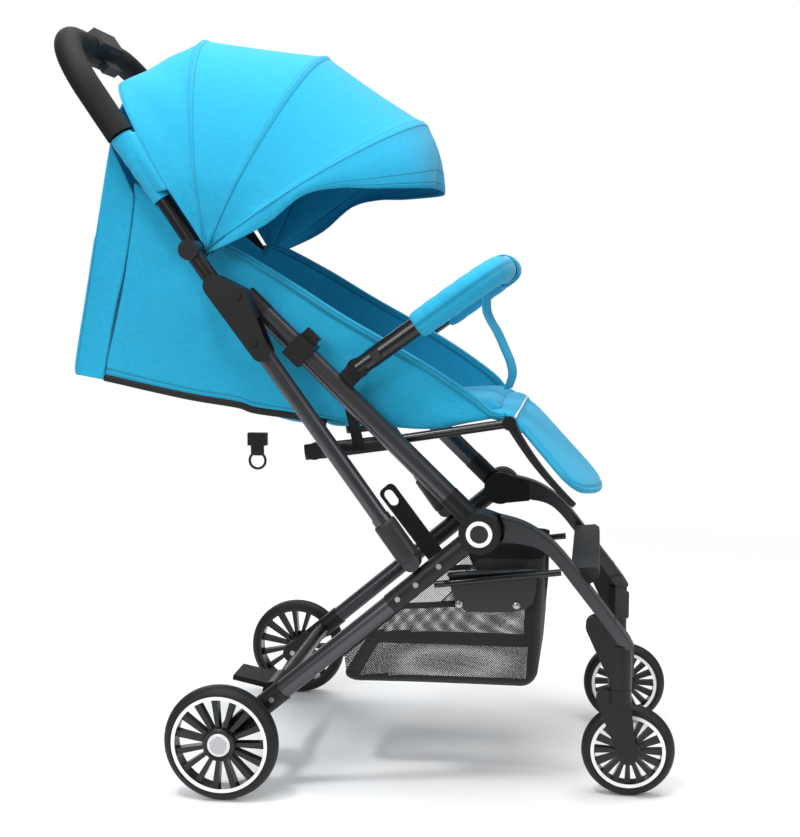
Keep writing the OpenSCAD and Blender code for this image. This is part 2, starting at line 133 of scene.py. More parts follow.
def finish(name, draw, **fixed):
    """A finish: draw(at) gives what changes over the surface, fixed what doesn't."""
    made = bpy.data.materials.new(name)
    made.use_nodes = True
    at = Wire(made.node_tree).node("TexCoord", out="Object")
    look = draw(at)
    if "height" in look:
        height, depth = look.pop("height")
        look["Normal"] = at.node("Bump", Strength=0.8, Distance=depth, Height=height)
    shader = made.node_tree.nodes["Principled BSDF"]
    for socket, value in {**fixed, **look}.items():
        at.put(shader.inputs[socket.replace("_", " ")], value)
    return made


def shade(colour, factor):
    return tuple(c * factor for c in colour) + (1,)


def pale_floor(at):
    patches = at.node("TexNoise", Vector=at, Scale=0.8, Detail=2)
    reach = at.node("VectorMath", {"operation": "LENGTH"}, out=1, _0=at)
    return {
        "Base Color": patches.between((0.9, 0.9, 0.91, 1), (0.94, 0.94, 0.94, 1)),
        "Roughness": 0.3 + patches * 0.15,
        "Alpha": (1 - (reach - 0.85) * 0.9).held(),
    }


floor_mesh = bmesh.new()
bmesh.ops.create_circle(floor_mesh, cap_ends=True, radius=30, segments=64)
floor = bpy.data.objects.new("floor", bpy.data.meshes.new("floor"))
floor_mesh.to_mesh(floor.data)
floor_mesh.free()
floor.data.materials.append(finish("floor_paper", pale_floor, Specular_IOR_Level=0.15))
bpy.context.scene.collection.objects.link(floor)

# name, place, aim, size, power
SOFTBOXES = [
    ("light_top", (0.2, 0.2, 3.2), (0, 0, 0), 2.6, 100),
    ("light_near", (-1.2, -2.6, 1.9), (0, 0, 0.5), 1.4, 46),
    ("light_front", (2.8, -1.4, 1.5), (0, 0, 0.5), 1.6, 30),
    ("light_far", (-1.6, 2.6, 1.8), (0, 0, 0.5), 1.8, 28),
    ("light_edge", (-0.6, -1.1, 2.6), (0, -0.2, 0.4), 0.35, 26),
]
for name, place, aim, size, power in SOFTBOXES:
    lamp = bpy.data.objects.new(name, bpy.data.lights.new(name, "AREA"))
    lamp.data.shape, lamp.data.size = "SQUARE", size
    lamp.data.energy = power
    lamp.location = place
    lamp.rotation_euler = (Vector(aim) - Vector(place)).to_track_quat("-Z", "Y").to_euler()
    bpy.context.scene.collection.objects.link(lamp)

studio = bpy.data.worlds.new("studio")
studio.use_nodes = True
bpy.context.scene.world = studio
sky = studio.node_tree.nodes["Background"]
rays = studio.node_tree.nodes.new("ShaderNodeLightPath")
level = studio.node_tree.nodes.new("ShaderNodeMix")
level.inputs[2].default_value, level.inputs[3].default_value = 0.24, 1.0
studio.node_tree.links.new(rays.outputs["Is Camera Ray"], level.inputs[0])
studio.node_tree.links.new(level.outputs[0], sky.inputs["Strength"])
sky.inputs["Color"].default_value = (1, 1, 1, 1)


# ---------------------------------------------------------------- frame finishes
# Satin gunmetal powder coat on the aluminium tubes, fine-textured black nylon on
# the joints, semi-gloss black on the handle tube and rails, zinc on screws.
def grained(name, colour, rough, grain, depth, **fixed):
    """A moulded or sprayed surface: grain is the size of its texture in metres."""

    def draw(at):
        fine = at.node("TexNoise", Vector=at, Scale=1 / grain, Detail=2)
        cloud = at.node("TexNoise", Vector=at, Scale=14, Detail=3)
        return {
            "Base Color": (cloud * 0.7 + fine * 0.3).between(shade(colour, 0.8), shade(colour, 1.2)),
            "Roughness": rough - 0.06 + cloud * 0.12,
            "height": (fine, depth),
        }

    return finish(name, draw, **fixed)


gunmetal = grained("gunmetal", (0.075, 0.076, 0.082), 0.3, 0.0009, 0.00002, Metallic=0.85)
black_nylon = grained("black_nylon", (0.0055, 0.0056, 0.0062), 0.42, 0.0008, 0.00005,
                      Specular_IOR_Level=0.32)
grey_nylon = grained("grey_nylon", (0.017, 0.0175, 0.019), 0.45, 0.0008, 0.00005,
                     Specular_IOR_Level=0.35)
black_paint = grained("black_paint", (0.006, 0.006, 0.0065), 0.27, 0.0012, 0.00002,
                      Specular_IOR_Level=0.45)
zinc = grained("zinc", (0.42, 0.42, 0.44), 0.32, 0.0015, 0.00002, Metallic=0.9)
tyre_foam = grained("tyre_foam", (0.0075, 0.0075, 0.0085), 0.55, 0.0011, 0.0001,
                    Specular_IOR_Level=0.3)
rim_nylon = grained("rim_nylon", (0.005, 0.005, 0.0055), 0.27, 0.002, 0.00003,
                    Specular_IOR_Level=0.4)
white_trim = grained("white_trim", (0.82, 0.82, 0.82), 0.3, 0.002, 0.00002)
grip_foam = grained("grip_foam", (0.0055, 0.0055, 0.006), 0.68, 0.0012, 0.00025,
                    Specular_IOR_Level=0.25)


def dress(material, *nodes):
    for node in nodes:
        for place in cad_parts[node].material_slots:
            place.material = material


dress(gunmetal, "rear_legs", "front_legs", "side_tubes")
dress(black_nylon, "rear_sleeves", "rear_hub_left", "rear_hub_right", "axle_carrier_left",
      "axle_carrier_right", "brake_pedal", "front_hubs", "caster_housings", "caster_fork_left",
      "caster_fork_right", "side_hubs", "bar_lugs", "accessory_clip", "brackets",
      "pull_loop", "recline_strap")
dress(gunmetal, "struts")
dress(grey_nylon, "hub_caps", "footrest", "handle_box", "handle_trigger",
      "bar_button_left", "bar_button_right")
dress(black_paint, "rear_cross_tube", "basket_rods", "seat_rails", "upper_tubes",
      "handle_tube", "bumper_bar")
dress(zinc, "rear_axles", "rear_leg_rivets")
dress(tyre_foam, "rear_tyre_left", "rear_tyre_right", "front_tyre_left", "front_tyre_right")
dress(rim_nylon, "rear_rim_left", "rear_rim_right", "front_rim_left", "front_rim_right")
dress(white_trim, "hub_rings", "rear_ring_left", "rear_ring_right", "front_rings_left",
      "front_rings_right")
dress(grip_foam, "handle_grip")


# ---------------------------------------------------------------- hood
# One cover of melange polyester, sewn in three spans over wire bows that turn on
# pins beside the fold hubs. A stiffened visor hangs from the front bow, and a
# sleeve at each back corner goes round the handle tube.
hub = (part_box("hub_caps")[0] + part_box("hub_caps")[1]) / 2


def side(x, z, y=0.0):
    """A point x in front of the frame's main hubs, z above them, y to the left, in mm."""
    return Vector((hub.x + x / 1000, y / 1000, hub.z + z / 1000))


def through(points, share):
    """The place at share 0 to 1 of a smooth line through points."""
    along = min(max(share, 0.0), 1.0) * (len(points) - 1)
    i = min(int(along), len(points) - 2)
    t = along - i
    a, b, c, d = (Vector(points[min(max(i + k, 0), len(points) - 1)]) for k in (-1, 0, 1, 2))
    return (b * 2 + (c - a) * t + (a * 2 - b * 5 + c * 4 - d) * t * t
            + (b * 3 - a - c * 3 + d) * t ** 3) / 2


def rows(count, seams=(), width=0.004):
    """Even rows from 0 to 1, with close ones at each seam so that its stitching is thin."""
    near = {c + k * width for c in seams for k in (-2, -1, 0, 1, 2)}
    even = {i / count for i in range(count + 1)}
    clear = {e for e in even if all(abs(e - c) > 3 * width for c in seams) or e in (0, 1)}
    return sorted({round(r, 6) for r in clear | near if 0 <= r <= 1})


def sewn(seams, width=0.004):
    """How much of a seam shows in each row: 1 on the stitching and 0 away from it. The cloth is darkened
    there with painted shade.
    """
    return lambda u, v: max((math.exp(-(((u - c) / width) ** 2)) for c in seams), default=0)


def cloth(lines, columns, surface, inside, stitch=None):
    """A sheet laid on surface(u, v) at the given lines u, its face turned from inside."""
    made = bmesh.new()
    bmesh.ops.create_grid(made, x_segments=len(lines) - 1, y_segments=columns, size=0.5)
    mark = made.verts.layers.float.new("stitch")
    for vert in made.verts:
        u = lines[round((vert.co.x + 0.5) * (len(lines) - 1))]
        v = vert.co.y + 0.5
        vert.co = surface(u, v)
        # The seam rows are marked for the painted shade that darkens the cloth along them.
        vert[mark] = stitch(u, v) if stitch else 0
    bmesh.ops.remove_doubles(made, verts=made.verts, dist=1e-6)
    made.normal_update()
    facing = sum(f.calc_area() * f.normal.dot(f.calc_center_median() - inside) for f in made.faces)
    if facing < 0:
        bmesh.ops.reverse_faces(made, faces=made.faces)
    return made


def piece(name, made, material, body=None, wall=0, bevel=0, rounds=0):
    """The finished object: smooth, with its wall, and riding on its body if it has one."""
    for face in made.faces:
        face.smooth = True
    obj = bpy.data.objects.new(name, bpy.data.meshes.new(name))
    made.to_mesh(obj.data)
    made.free()
    obj.data.materials.append(material)
    bpy.context.scene.collection.objects.link(obj)
    if wall:
        solid = obj.modifiers.new("wall", "SOLIDIFY")
        solid.thickness, solid.offset = wall, -1
    if bevel:
        edges = obj.modifiers.new("edges", "BEVEL")
        edges.width, edges.segments, edges.limit_method = bevel, 2, "ANGLE"
    if rounds:
        soft = obj.modifiers.new("rounds", "SUBSURF")
        soft.levels = soft.render_levels = rounds
    if body:
        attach(obj, body)
    return obj


def woven(name, colour, thread, depth, rough=0.85, **fixed):
    """Cloth in two crossing threads, a little uneven in colour, with painted shade darkening it along its
    seams and sewn channels.
    """

    def draw(at):
        warp = at.node("TexNoise", Vector=at.node("Mapping", Vector=at, Scale=(1, 1, 0.12)),
                       Scale=1 / thread, Detail=2)
        weft = at.node("TexNoise", Vector=at.node("Mapping", Vector=at, Scale=(0.12, 0.12, 1)),
                       Scale=1 / thread, Detail=2)
        cloud = at.node("TexNoise", Vector=at, Scale=11, Detail=3)
        threads = warp * 0.5 + weft * 0.5
        # The seam mark darkens the colour towards 0.3 of itself: painted shade in the grooves of seams and
        # channels. It also dips the bump there.
        seam = at.node("Attribute", {"attribute_name": "stitch"}, out="Fac")
        colours = ((threads - 0.5) * 1.6 + cloud * 0.3 + 0.35).between(
            shade(colour, 0.8), shade(colour, 1.16))
        return {
            "Base Color": (seam * 0.62).between(colours, shade(colour, 0.3)),
            "Roughness": rough - 0.05 + cloud * 0.1,
            "height": (threads - seam * 1.5, depth),
        }

    return finish(name, draw, Sheen_Weight=0.12, Sheen_Roughness=0.5, Specular_IOR_Level=0.25,
                  **fixed)


BLUE = (0.013, 0.335, 0.555)
blue_cloth = woven("blue_cloth", BLUE, 0.0011, 0.0003)
pin = side(-355.1, 355.3)
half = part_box("canopy_middle")[1].y


def bow(angle, radius, ends, rise):
    """A bow of the hood at that angle and reach, from the right pin over to the left."""
    tilt = math.radians(angle)

    def place(v):
        across, up = math.cos(math.pi * v), max(0.0, math.sin(math.pi * v))
        reach = radius / 1000 * up ** rise
        y = -half * math.copysign(abs(across) ** ends, across)
        y *= 1 - 0.056 * min(1, max(0, (0.09 - reach) / 0.06))
        return pin + Vector((reach * math.cos(tilt), y, reach * math.sin(tilt)))

    return place


RIM = [(0, 184, -6), (38, 191, 9), (82, 190.5, 31), (126, 183, 66), (168, 169, 76),
       (206, 156, 76), (236, 139, 77), (260, 120, 78), (275, 98, 79), (280, 74, 80.5),
       (279, 50, 82), (275, 25, 83.5), (271, 0, 84)]


def rim(v):
    x, y, z = through(RIM, 2 * min(v, 1 - v)) / 1000
    return pin + Vector((x, -y if v < 0.5 else y, z))


back_bow = bow(122, 268, 0.5, 0.8)
first_bow = bow(98.3, 290, 0.95, 0.98)
second_bow = bow(64.5, 291, 1.0, 1.08)
front_bow = bow(33.5, 311, 1.0, 0.8)


def lifted(place, height):
    """place moved out from the pins' line by height, as a channel over a bow is."""
    out = place - Vector((pin.x, place.y * 0.4, pin.z))
    return place + out.normalized() * height


def hood_back(u, v):
    flat = back_bow(v).lerp(first_bow(v), u)
    fold = 0.0016 * math.sin(math.pi * v) * math.sin(34 * v + 9 * u) * u * (1 - u) * 4
    return lifted(flat, 0.0018 * math.exp(-(((1 - u) / 0.045) ** 2)) + fold)


def hood_top(u, v):
    flat = first_bow(v).lerp(second_bow(v), u)
    channel = math.exp(-((u / 0.03) ** 2)) + math.exp(-(((1 - u) / 0.03) ** 2))
    return lifted(flat, 0.0018 * channel - 0.001 * math.sin(math.pi * u))


TURN = 0.64


def hood_front(u, v):
    if u < TURN:
        share = u / TURN
        flat = second_bow(v).lerp(front_bow(v), share)
        return lifted(flat, 0.0018 * math.exp(-((share / 0.03) ** 2))
                      + 0.0022 * math.exp(-(((1 - share) / 0.04) ** 2))
                      - 0.002 * math.sin(math.pi * share))
    share = (u - TURN) / (1 - TURN)
    turn = math.pi * v
    swell = 0.0115 * math.sin(turn) ** 1.5 * math.sin(math.pi * share) ** 0.8
    flat = front_bow(v).lerp(rim(v), share)
    out = Vector((math.sin(turn), -math.cos(turn) * 0.8, 0.25))
    return lifted(flat + out * swell, 0.0022 * math.exp(-((share / 0.08) ** 2)))


HOOD = [
    ("hood_back", hood_back, (0.0, 0.03, 0.965), "canopy_rear", "bracket", "canopy_bow_rear",
     (122, 98.3), (0.125, 0.80), 0.060),
    ("hood_top", hood_top, (0.0, 0.035, 0.965), "canopy_middle", "canopy_bow_rear",
     "canopy_bow_middle", (98.3, 64.5), (0.17, 0.78), 0.077),
    ("hood_front", hood_front, (0.0, 0.025, TURN - 0.018, TURN + 0.022, 0.91, 0.97),
     "canopy_front", "canopy_bow_middle", "canopy_bow_front", (64.5, 33.5),
     (0.25, 0.85), 0.122),
]
# Each span is a gore between two bows, with the brim below the front one.
# It narrows to nothing at the pins.
for name, surface, seams, node, behind, ahead, angles, cut, gore in HOOD:
    lines = rows(26 if node == "canopy_front" else 14, seams)
    made = cloth(lines, 110, surface, pin + Vector((0.05, 0, 0.08)), sewn(seams))
    span = piece(name, made, blue_cloth, wall=0.0016)
    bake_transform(span)
    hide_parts(node)

# The sleeves at the hood's back corners are sewn tubes of the same cloth. Each is
# pulled over a handle arm below the foam grip and gathers a little along it.
def swept(path, size, turned=(0, 1, 0), sides=16, seams=(), square=0.0):
    """A tube through path. size(i) gives its width along turned and its height."""
    made = bmesh.new()
    mark = made.verts.layers.float.new("stitch")
    rings = []
    for i, place in enumerate(path):
        ahead = (path[min(i + 1, len(path) - 1)] - path[max(i - 1, 0)]).normalized()
        up = ahead.cross(Vector(turned)).normalized()
        flat = up.cross(ahead).normalized()
        width, height = size(i)
        turn = Matrix((flat, up, ahead)).transposed().to_4x4()
        ring = bmesh.ops.create_circle(made, segments=sides, radius=0.5)["verts"]
        for k, vert in enumerate(ring):
            # The seam sides are marked for the painted shade that darkens the cloth along them.
            vert[mark] = 1 if k in seams else 0
            vert.co *= 1 + square * abs(vert.co.x * vert.co.y) * 4 * 0.41
            vert.co.x, vert.co.y = vert.co.x * width, vert.co.y * height
        bmesh.ops.transform(made, matrix=Matrix.Translation(place) @ turn, verts=ring)
        rings.append(ring)
    loops = [[e for e in made.edges if e.verts[0] in ring and e.verts[1] in ring]
             for ring in map(set, rings)]
    for one, two in zip(loops, loops[1:]):
        bmesh.ops.bridge_loops(made, edges=one + two)
    for loop in (loops[0], loops[-1]):
        bmesh.ops.edgenet_fill(made, edges=loop)
    bmesh.ops.recalc_face_normals(made, faces=made.faces)
    return made


def as_cloth(made, open_to=0):
    """Leaves a tube's cloth alone, without its ends. A tape folded over an edge is open
    below, at -1, or above, at 1."""
    made.normal_update()
    gone = [f for f in made.faces if len(f.verts) > 4 or f.normal.z * open_to > 0.5]
    bmesh.ops.delete(made, geom=gone, context="FACES")
    return made


def gusset(way):
    """Cloth from the handle arm to the hood's back edge, beside the sleeve."""

    def place(u, v):
        along = 88 + 88 * v
        arm = side(-369.1 - 0.5621 * along, 353.3 + 0.8271 * along, way * 188.5)
        over = math.asin(min(1.0, (along / 268) ** 1.25)) / math.pi
        edge = back_bow(over if way < 0 else 1 - over)
        ease = u + 0.10 * math.sin(math.pi * u)
        return arm.lerp(edge, min(1, ease)) + Vector((0, way * 0.003 * math.sin(math.pi * u), 0))

    return place


for way, end in ((-1, "right"), (1, "left")):
    line = [side(-369.1 - 0.5621 * (78 + 98 * t), 353.3 + 0.8271 * (78 + 98 * t), way * 176)
            for t in (i / 22 for i in range(23))]
    made = swept(line, lambda i: (0.0265 + 0.00012 * i + 0.0008 * math.sin(i * 1.9),
                                  0.0275 + 0.00022 * i + 0.0008 * math.sin(i * 1.3 + 1)), sides=20)
    sleeve = piece("hood_sleeve_" + end, as_cloth(made), blue_cloth, "handle",
                   0.0014, rounds=1)
    made = cloth(rows(10, (0.94,), 0.02), 24, gusset(way), pin, sewn((0.94,), 0.02))
    corner = piece("hood_gusset_" + end, made, blue_cloth, "bracket", 0.0014)


# ---------------------------------------------------------------- back curtain
# A plain blue sheet closes the back under the hood. It is seamed to the seat's side
# panels, wraps round behind the handle arms and hangs to the backrest's lower edge.
SEAM = [(-507, 183), (-503, 205), (-490, 271), (-476, 326), (-465, 385), (-460, 425)]
CORNER = [(-540, 190), (-543, 205), (-526, 298), (-508, 398), (-497, 455), (-489, 492)]


def curtain(u, v):
    seam, corner = through([(*p, 0) for p in SEAM], u), through([(*p, 0) for p in CORNER], u)
    spread = abs(2 * v - 1)
    if spread > 0.76:
        share = (spread - 0.76) / 0.24
        x, z = corner.x + (seam.x - corner.x) * share, corner.y + (seam.y - corner.y) * share
        y = 158 - 7 * share - 2.5 * math.sin(math.pi * share) * math.sin(math.pi * u)
    else:
        share = spread / 0.76
        arch = u ** 6 * 78 * (1 - share ** 2.2)
        x = corner.x - 4 * (1 - share ** 2) * u + 3.5 * math.sin(9 * share) * (1 - u)
        x -= arch * 0.08
        z = corner.y + arch
        y = 158 * share
        if share > 0.93:
            bend = (share - 0.93) / 0.07
            x, y = x + 5 * bend ** 2, 158 * 0.93 + 158 * 0.07 * math.sin(bend * math.pi / 2)
            x -= 5 * bend ** 3
    return side(x, z, y if v > 0.5 else -y)


made = cloth(rows(28, (0.015, 0.975)), 120, curtain, side(-420, 320), sewn((0.015, 0.975)))
back_sheet = piece("back_curtain_cloth", made, blue_cloth, "side_frame", 0.0012)
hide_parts("back_curtain")

# ---------------------------------------------------------------- seat sides
# Lightly padded side panels run from the calf rest up past the tubes to the curtain.
# Their upper edge is bound with a double-stitched tape, a black tape runs under the back.
TOP = [(-460, 441), (-446, 431), (-402, 393), (-359, 358), (-338, 360), (-264, 318.5),
       (-194, 274), (-130, 237), (-69, 201.5), (-14, 165), (7, 148), (26, 143)]
BOTTOM = [(-507, 190), (-478, 184), (-441, 176), (-385, 165), (-325, 156), (-302, 149),
          (-248, 142), (-195, 133), (-107, 124), (-60, 124), (-20, 132), (27, 141)]


def top_edge(share, raised=0.0):
    x, z, _ = through([(*p, 0) for p in TOP], share)
    return x, z + raised * math.sin(math.pi * min(1, max(0, share - 0.3) / 0.7)) ** 0.8


def seat_side(way, raised):
    def place(u, v):
        x0, z0, _ = through([(*p, 0) for p in BOTTOM], v)
        x1, z1 = top_edge(v, raised)
        puff = 2.4 * math.sin(math.pi * u) + 0.9 * math.sin(23 * v + 6 * u) * math.sin(math.pi * u)
        lean = 8 * math.sin(math.pi * u) * (1 - v) ** 8
        return side(x0 + (x1 - x0) * u + lean, z0 + (z1 - z0) * u, way * (148.4 + puff))

    return place


binding_tape = woven("binding_tape", tuple(c * 0.97 for c in BLUE), 0.0009, 0.0003)
black_web = woven("black_web", (0.011, 0.011, 0.012), 0.0013, 0.0003, 0.7)
for way, end, raised in ((-1, "right", 0), (1, "left", 15)):
    made = cloth(rows(22, (0.03,), 0.006), 96, seat_side(way, raised), side(-250, 250),
                 sewn((0.03,), 0.006))
    panel = piece("seat_side_" + end, made, blue_cloth, "side_frame", 0.0045)
    line = []
    for i in range(90):
        x, z = top_edge(0.285 + 0.715 * i / 89, raised)
        line.append(side(x, z - 4, way * 147))
    made = swept(line, lambda i: (0.0078, 0.0115), seams=(0, 3, 8, 5), square=0.8)
    tape = piece("seat_binding_" + end, as_cloth(made, -1), binding_tape,
                 "side_frame", 0.001)
    edge = [side(*through([(*p, 0) for p in BOTTOM], i / 39 * 0.62).xy, way * 146.5)
            - Vector((0, 0, 0.0045)) for i in range(40)]
    made = swept(edge, lambda i: (0.006, 0.0095), sides=10, square=0.8)
    under = piece("seat_under_tape_" + end, as_cloth(made, 1), black_web,
                  "side_frame", 0.001)
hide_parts("seat_walls")

# ---------------------------------------------------------------- seat and back pads
# Foam pads in blue covers: the seat lies on the rails, the back leans from its rear
# edge and carries a sewn centre channel.
def pad(surface, normal, front, back, around, deep, channels=()):
    """A crowned closed pad about surface(u, v), front and back thick, dipping at its channels, whose
    bottoms are darkened with painted shade.
    """
    made = bmesh.new()
    mark = made.verts.layers.float.new("stitch")
    for sign, thick in ((1, front), (-1, back)):
        grid = bmesh.ops.create_grid(made, x_segments=around, y_segments=deep, size=0.5)["verts"]
        for vert in grid:
            u, v = vert.co.x + 0.5, vert.co.y + 0.5
            crown = max(0.0, (1 - abs(2 * u - 1) ** 7) * (1 - abs(2 * v - 1) ** 7)) ** 0.42
            line = max((math.exp(-((channel(u, v) / 0.010) ** 2)) for channel in channels),
                       default=0.0) if sign > 0 else 0.0
            rise = thick * crown * (1 - 0.3 * line) * (0.9 + 0.1 * crown)
            vert.co = surface(u, v) + normal * sign * rise
            # The bottom of each channel is marked for painted shade in the cloth.
            vert[mark] = line ** 4
    bmesh.ops.remove_doubles(made, verts=made.verts, dist=1e-5)
    bmesh.ops.recalc_face_normals(made, faces=made.faces)
    return made


def plump(obj, voxel, pressure, cap):
    """Fills a pad: its cover is blown up a little as cloth and held within cap."""
    remesh = obj.modifiers.new("even", "REMESH")
    remesh.mode, remesh.voxel_size = "VOXEL", voxel
    with bpy.context.temp_override(object=obj, active_object=obj, selected_objects=[obj]):
        bpy.ops.object.modifier_apply(modifier="even")
    rest = [vert.co.copy() for vert in obj.data.vertices]
    blown = obj.modifiers.new("blown", "CLOTH")
    blown.settings.use_pressure = True
    blown.settings.uniform_pressure_force = pressure
    blown.settings.effector_weights.gravity = 0
    scene = bpy.context.scene
    for step in range(1, 21):
        scene.frame_set(step)
    with bpy.context.temp_override(object=obj, active_object=obj, selected_objects=[obj]):
        bpy.ops.object.modifier_apply(modifier="blown")
    scene.frame_set(1)
    for vert, start in zip(obj.data.vertices, rest):
        moved = vert.co - start
        if moved.length > cap:
            vert.co = start + moved.normalized() * cap
    soft = obj.modifiers.new("rounds", "SUBSURF")
    soft.levels = soft.render_levels = 1
    obj.data.shade_smooth()


def seat_place(u, v):
    return side(-218 + 244 * u, 129 + 20 * u, -138 + 276 * v)


def back_place(u, v):
    return side(-228 - 266 * u, 129 + 71.3 * u, -136 + 272 * v)


seat_normal = Vector((-0.082, 0, 0.9966))
made = pad(seat_place, seat_normal, 0.012, 0.008, 44, 48,
           (lambda u, v: u - 0.34, lambda u, v: u - 0.67))
seat_pad = piece("seat_pad", made, blue_cloth, "side_frame")
plump(seat_pad, 0.005, 3.0, 0.004)
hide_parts("seat_base")
back_normal = Vector((0.259, 0, 0.966))
made = pad(back_place, back_normal, 0.010, 0.008, 46, 46,
           (lambda u, v: u - 0.4, lambda u, v: (v - 0.3) * 1.0, lambda u, v: (v - 0.7) * 1.0))
back_pad = piece("back_pad", made, blue_cloth, "back")
plump(back_pad, 0.005, 3.0, 0.004)
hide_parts("backrest")

# ---------------------------------------------------------------- calf rest
# A foam pad hinged at the front of the seat, rounded at its lower corners, with a
# sewn edge seam, a pale reflective piping at the top and a thin black bar under it.
CALF_DOWN, CALF_OUT = Vector((0.643, 0, -0.766)), Vector((0.766, 0, 0.643))
calf_top = side(42.5, 140.5)


def calf_place(u, v):
    y = (2 * v - 1) * 0.146
    round_off = max(0.0, abs(y) - 0.112) / 0.034
    length = -0.146 + math.sqrt(0.302 ** 2 - y * y) - 0.030 * (1 - math.sqrt(1 - min(1, round_off) ** 2))
    return (calf_top + CALF_DOWN * (0.001 + (length - 0.001) * u) + Vector((0, y, 0))
            + CALF_OUT * (-0.006 + 0.017 * (1 - (2 * v - 1) ** 2) * (0.45 + 0.55 * u)))


made = pad(calf_place, CALF_OUT, 0.0085, 0.0075, 60, 84,
           (lambda u, v: (u - 0.955) * 0.9, lambda u, v: (v - 0.026) * 1.6,
            lambda u, v: (v - 0.974) * 1.6))
calf_pad = piece("calf_pad", made, blue_cloth, "calf", rounds=1)
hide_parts("calf_rest")
reflective = grained("reflective_piping", (0.8, 0.81, 0.82), 0.35, 0.001, 0.0001)
FLAP_LINE = [(2, 149), (18, 150), (32, 149), (43, 144.5), (51, 136), (57, 126)]


def front_flap(u, v):
    x, z, _ = through([(*p, 0) for p in FLAP_LINE], u)
    y = 2 * v - 1
    return side(x - 8 * y ** 4 * u, z + 4 * (1 - y * y) * math.sin(math.pi * u) - 6 * abs(y) ** 9, 149 * y)


made = cloth(rows(18, (0.1,)), 60, front_flap, side(0, 80), sewn((0.1,)))
flap_cloth = piece("seat_front_flap", made, blue_cloth, "side_frame", 0.005)
line = [front_flap(0.62, 0.01 + 0.98 * i / 40) + CALF_OUT * 0.0006 for i in range(41)]
made = swept(line, lambda i: (0.0026, 0.0022), turned=(1, 0, 0), sides=8)
piping = piece("calf_piping", made, reflective, "side_frame")
for y, end in ((-150, "right"), (150, "left")):
    line = [side(34 + 82 * t - 4 * math.sin(math.pi * t), 130 - 104 * t - 3 * math.sin(math.pi * t),
                 y * (1 - 0.05 * t)) for t in (i / 16 for i in range(17))]
    made = swept(line, lambda i: (0.006, 0.0125 - 0.0003 * i), sides=12, square=0.6)
    piece("calf_bar_" + end, made, black_nylon, "side_frame")

# ---------------------------------------------------------------- bumper bar cover
# A padded blue sleeve laced round the front of the bumper bar. The crotch strap
# loops over its middle with a band and runs down to the seat; its snap is not made.
BAR_AHEAD = Vector((math.cos(math.radians(35.6)), 0, math.sin(math.radians(35.6))))
bar_foot = side(-159.5, 203.3)


def bar_place(distance):
    """The bar's centre line, by the distance along it from its right foot, in mm."""
    straight, bend, arm = 151.0, 62.0, 179.0
    arc = bend * math.pi / 2
    middle = straight + arc + (arm - bend)
    near = min(distance, 2 * middle - distance)
    if near < straight:
        x, y = near, arm
    elif near < straight + arc:
        turn = (near - straight) / bend
        x, y = straight + bend * math.sin(turn), arm - bend + bend * math.cos(turn)
    else:
        x, y = straight + bend, arm - bend - (near - straight - arc)
    return bar_foot + BAR_AHEAD * (x / 1000) + Vector((0, (-y if distance < middle else y) / 1000, 0))


bar_middle = 151.0 + 62.0 * math.pi / 2 + 117.0
steps = 120
line = [bar_place(91 + (2 * bar_middle - 182) * i / steps) for i in range(steps + 1)]


def cover_size(i):
    end = min(i, steps - i)
    pinch = 0.0035 * math.exp(-((end / 1.6) ** 2)) + 0.0018 * math.exp(-(((i - steps / 2) / 4) ** 2))
    gather = 0.0007 * math.sin(i * 1.15) + 0.0005 * math.sin(i * 2.3 + 1)
    return (0.0365 - pinch + gather, 0.0375 - pinch + gather * 1.4)


made = swept(line, cover_size, turned=tuple(Vector((0, 1, 0)).cross(BAR_AHEAD)), sides=24, seams=(12,))
bar_sleeve = piece("bar_sleeve", made, blue_cloth, "bumper", rounds=1)
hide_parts("bar_cover")
bar_end = bar_foot + BAR_AHEAD * 0.213


def strap(name, path, width, wall, material, body, across=(0, 1, 0)):
    """Flat webbing or tape through path, with a stitched line near each edge, darkened with painted shade
    of its groove.
    """
    made = bmesh.new()
    lines = (0.0, 0.1, 0.14, 0.18, 0.5, 0.82, 0.86, 0.9, 1.0)
    bmesh.ops.create_grid(made, x_segments=8, y_segments=len(path) - 1, size=0.5)
    mark = made.verts.layers.float.new("stitch")
    for vert in made.verts:
        k, i = round((vert.co.x + 0.5) * 8), round((vert.co.y + 0.5) * (len(path) - 1))
        vert.co = path[i] + Vector(across) * width * (lines[k] - 0.5)
        # The stitched lines are marked for painted shade in the cloth.
        vert[mark] = 0.8 if k in (2, 6) else 0
    made.normal_update()
    obj = piece(name, made, material, body, wall)
    obj.modifiers["wall"].offset = 0
    return obj


band = [bar_end + Vector((math.cos(a) * 0.0215, 0, math.sin(a) * 0.0205))
        for a in (math.radians(-150 + 345 * i / 40) for i in range(41))]
strap("crotch_band", band, 0.028, 0.0022, binding_tape, "bumper")
CROTCH = [(-4, 312), (-9, 294), (-9, 273), (-3, 258), (6, 243), (16, 221), (24, 202), (27, 184),
          (21, 165)]
drop = [side(x, z) for x, z, _ in (through([(*p, 0) for p in CROTCH], i / 44) for i in range(45))]
crotch = strap("crotch_web", drop, 0.026, 0.0026, binding_tape, "bumper",
               across=(0.33, 0.944, 0))
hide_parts("crotch_strap")

